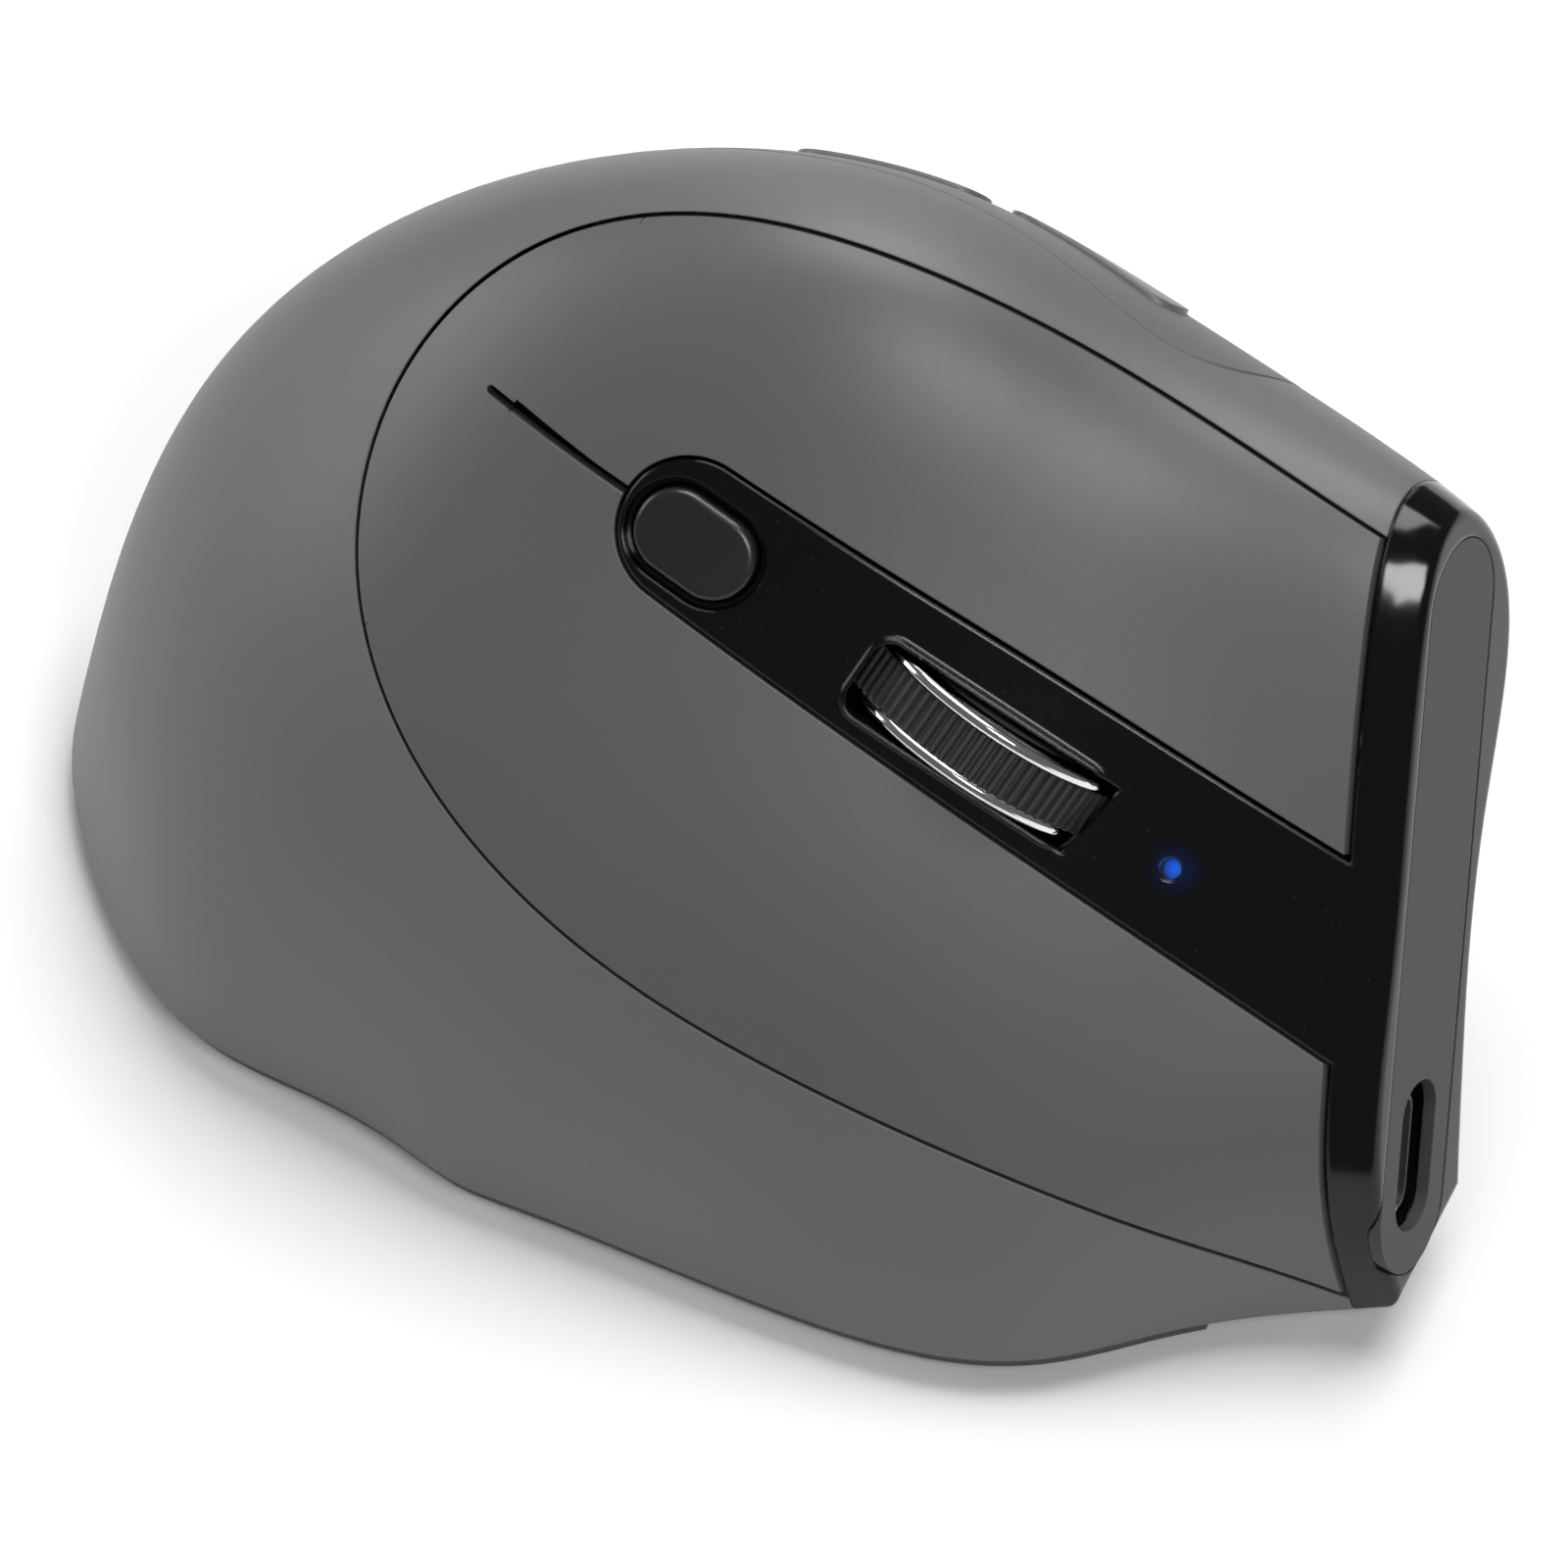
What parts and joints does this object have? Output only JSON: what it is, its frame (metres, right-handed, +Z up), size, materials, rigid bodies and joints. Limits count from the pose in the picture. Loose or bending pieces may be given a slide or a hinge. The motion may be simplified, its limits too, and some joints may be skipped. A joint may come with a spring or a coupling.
{
  "type": "computer mouse",
  "caption": "Upright wireless computer mouse for the right hand with finger keys, scroll wheel, thumb buttons and a charging socket in the nose.",
  "frame": {"origin": "on the desk surface under the middle of the body", "axes": "+Y forward towards the nose, +X to the right on the finger side, +Z up"},
  "size_m": [0.0727, 0.1166, 0.0681],
  "materials": {
    "casing": "fine satin texture",
    "panel_grey": "fine satin texture",
    "thumb_rubber": "soft matte",
    "gloss_black": "polished",
    "plate_grey": "satin",
    "button_grey": "semi gloss",
    "button_black": "semi gloss",
    "led_blue": "clear blue",
    "wheel_rubber": "ribbed matte",
    "wheel_chrome": "polished",
    "inner_black": "moulded",
    "switch_black": "moulded",
    "plunger_white": "moulded",
    "circuit_green": "solder mask",
    "screw_steel": "bright zinc",
    "base_dark": "moulded",
    "skate_white": "smooth low friction",
    "clear_plastic": "clear moulded",
    "battery_silver": "foil wrapped",
    "pad_foam": "foam",
    "wire_red": "insulated wire"
  },
  "bodies": {
    "body": {"main_shell": "casing", "centre_trim": "gloss_black", "nose_plate": "plate_grey", "palm_panel": "panel_grey", "thumb_panel": "thumb_rubber", "led_lens": "led_blue", "led_chip": "led_blue", "wheel_switch": "switch_black", "dpi_switch": "switch_black", "left_microswitch": "switch_black", "right_microswitch": "switch_black", "face_board": "circuit_green", "face_board_screws": "screw_steel", "mid_frame": "inner_black", "forward_switch": "switch_black", "back_switch": "switch_black", "thumb_board": "circuit_green", "thumb_board_screws": "screw_steel", "base_plate": "base_dark", "base_screws": "screw_steel", "skates": "skate_white", "main_board": "circuit_green", "main_board_screws": "screw_steel", "optical_sensor": "switch_black", "sensor_lens": "clear_plastic", "power_housing": "screw_steel", "battery": "battery_silver", "battery_pad": "pad_foam", "battery_plug": "plunger_white", "battery_lead": "wire_red", "usb_receptacle": "screw_steel", "usb_tongue": "inner_black", "usb_board": "circuit_green"},
    "left_key": {"left_key": "panel_grey", "left_plunger": "plunger_white"},
    "right_key": {"right_key": "panel_grey", "right_plunger": "plunger_white"},
    "dpi_button": {"dpi_button": "button_black", "dpi_plunger": "plunger_white"},
    "cradle": {"wheel_cradle": "inner_black", "wheel_encoder": "switch_black", "wheel_plunger": "plunger_white"},
    "wheel": {"wheel_tyre": "wheel_rubber", "wheel_rims": "wheel_chrome", "wheel_hub": "inner_black"},
    "forward_button": {"forward_button": "button_grey", "forward_plunger": "plunger_white"},
    "back_button": {"back_button": "button_grey", "back_plunger": "plunger_white"},
    "power_slider": {"power_slider": "button_black"}
  },
  "joints": [
    {"name": "left_key_flex", "type": "hinge", "parent": "body", "child": "left_key", "pos_m": [0.00197, -0.01935, 0.05716], "axis": [-0.6302, 0.3485, 0.6938], "range_deg": [0, 0.4], "stiffness_Nm_per_rad": 3},
    {"name": "right_key_flex", "type": "hinge", "parent": "body", "child": "right_key", "pos_m": [0.00197, -0.01935, 0.05716], "axis": [-0.6302, 0.3485, 0.6938], "range_deg": [0, 0.4], "stiffness_Nm_per_rad": 3},
    {"name": "dpi_press", "type": "slide", "parent": "body", "child": "dpi_button", "axis": [-0.761, -0.1, -0.641], "range_m": [0, 0.0003], "stiffness_N_per_m": 1500},
    {"name": "wheel_press", "type": "slide", "parent": "body", "child": "cradle", "axis": [-0.761, -0.1, -0.641], "range_m": [0, 0.0004], "stiffness_N_per_m": 1500},
    {"name": "wheel_spin", "type": "hinge", "parent": "cradle", "child": "wheel", "pos_m": [0.00242, 0.01802, 0.03707], "axis": [-0.6302, 0.3485, 0.6938], "continuous": true},
    {"name": "forward_press", "type": "slide", "parent": "body", "child": "forward_button", "axis": [0.8488, -0.0999, -0.5192], "range_m": [0, 0.0003], "stiffness_N_per_m": 1500},
    {"name": "back_press", "type": "slide", "parent": "body", "child": "back_button", "axis": [0.8488, -0.0999, -0.5192], "range_m": [0, 0.0003], "stiffness_N_per_m": 1500},
    {"name": "power_switch", "type": "slide", "parent": "body", "child": "power_slider", "axis": [0, 1, 0], "range_m": [0, 0.002]}
  ]
}
